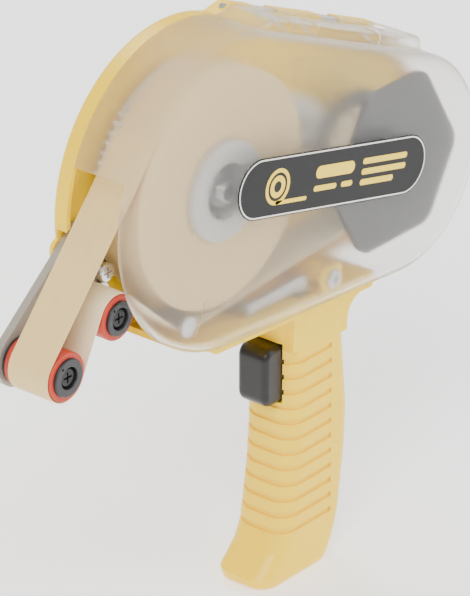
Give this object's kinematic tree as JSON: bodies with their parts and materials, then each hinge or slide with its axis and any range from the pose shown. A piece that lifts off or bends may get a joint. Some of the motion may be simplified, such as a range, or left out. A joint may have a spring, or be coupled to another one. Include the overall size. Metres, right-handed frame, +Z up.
{
  "type": "tape dispenser",
  "caption": "Hand-held transfer tape dispenser: pistol grip with trigger, hinged frosted cover, tape roll, geared liner take-up and nose rollers.",
  "frame": {"origin": "on the grip's flat foot, at the seam between its halves", "axes": "+Z up along the grip, -X towards the nose rollers, -Y towards the hinged cover"},
  "size_m": [0.2454, 0.04, 0.2445],
  "materials": {
    "casing_yellow": "satin moulded",
    "cover_frosted": "frosted",
    "label_black": "satin print",
    "steel": "turned",
    "chrome": "bright",
    "black_oxide": "black oxide",
    "arm_grey": "satin paint",
    "red_rubber": "matt",
    "hub_grey": "moulded",
    "light_grey": "moulded",
    "kraft": "paper",
    "liner": "paper liner",
    "gear_white": "moulded acetal",
    "felt": "pressed felt",
    "trigger_black": "semi gloss"
  },
  "bodies": {
    "casing": {"back_casing": "casing_yellow", "grip_side": "casing_yellow", "grip_screws": "steel", "hinge_pin": "steel", "nose_arm": "arm_grey", "roller_screws": "black_oxide", "arm_screws": "chrome", "tension_spring": "chrome", "idler_post": "steel", "supply_spindle": "steel", "spindle_clip": "steel", "takeup_spindle": "steel", "takeup_cap": "hub_grey", "clutch_spring": "steel", "liner_post": "steel", "brake_pin": "steel", "tape_web": "kraft", "liner_web": "liner", "trigger_spring": "steel"},
    "cover": {"cover": "cover_frosted", "label_plate": "label_black"},
    "front_roller": {"front_tyre": "red_rubber", "front_hub": "hub_grey"},
    "rear_roller": {"rear_tyre": "red_rubber", "rear_hub": "hub_grey"},
    "supply_spool": {"supply_hub": "light_grey", "paper_core": "kraft", "tape_roll": "kraft", "retaining_ring": "light_grey", "supply_gear": "gear_white"},
    "idler": {"idler_gear": "gear_white"},
    "takeup_spool": {"takeup_hub": "hub_grey", "clutch_felt": "felt", "wound_liner": "liner", "takeup_gear": "gear_white", "lobed_flange": "hub_grey"},
    "trigger": {"trigger": "trigger_black"},
    "brake": {"brake_lever": "steel", "brake_pad": "felt"}
  },
  "joints": [
    {"name": "cover_hinge", "type": "hinge", "parent": "casing", "child": "cover", "pos_m": [-0.01366, 0.0133, 0.24251], "axis": [-0.9211, 0, 0.3892], "range_deg": [0, 90]},
    {"name": "supply_spin", "type": "hinge", "parent": "casing", "child": "supply_spool", "pos_m": [-0.0388, 0, 0.183], "axis": [0, 1, 0], "continuous": true},
    {"name": "idler_spin", "type": "hinge", "parent": "casing", "child": "idler", "pos_m": [0.02617, 0, 0.16716], "axis": [0, 1, 0], "continuous": true},
    {"name": "takeup_spin", "type": "hinge", "parent": "casing", "child": "takeup_spool", "pos_m": [0.06321, 0, 0.15813], "axis": [0, 1, 0], "continuous": true},
    {"name": "front_roller_spin", "type": "hinge", "parent": "casing", "child": "front_roller", "pos_m": [-0.1267, 0, 0.1398], "axis": [0, 1, 0], "continuous": true},
    {"name": "rear_roller_spin", "type": "hinge", "parent": "casing", "child": "rear_roller", "pos_m": [-0.0982, 0, 0.1528], "axis": [0, 1, 0], "continuous": true},
    {"name": "trigger_pull", "type": "slide", "parent": "casing", "child": "trigger", "axis": [1, 0, 0], "range_m": [0, 0.005], "stiffness_N_per_m": 800, "springref_m": -0.004, "deforming": ["trigger_spring"]},
    {"name": "brake_pivot", "type": "hinge", "parent": "casing", "child": "brake", "pos_m": [-0.02, 0, 0.125], "axis": [0, 1, 0], "range_deg": [-10.5, 0]}
  ],
  "couplings": [
    {"joint": "idler_spin", "follows": "supply_spin", "ratio": -1.8919},
    {"joint": "takeup_spin", "follows": "supply_spin", "ratio": 2.9167},
    {"joint": "front_roller_spin", "follows": "supply_spin", "ratio": 4.8958},
    {"joint": "rear_roller_spin", "follows": "supply_spin", "ratio": -5.2809},
    {"joint": "brake_pivot", "follows": "trigger_pull", "rad_per_m": -35.714}
  ]
}
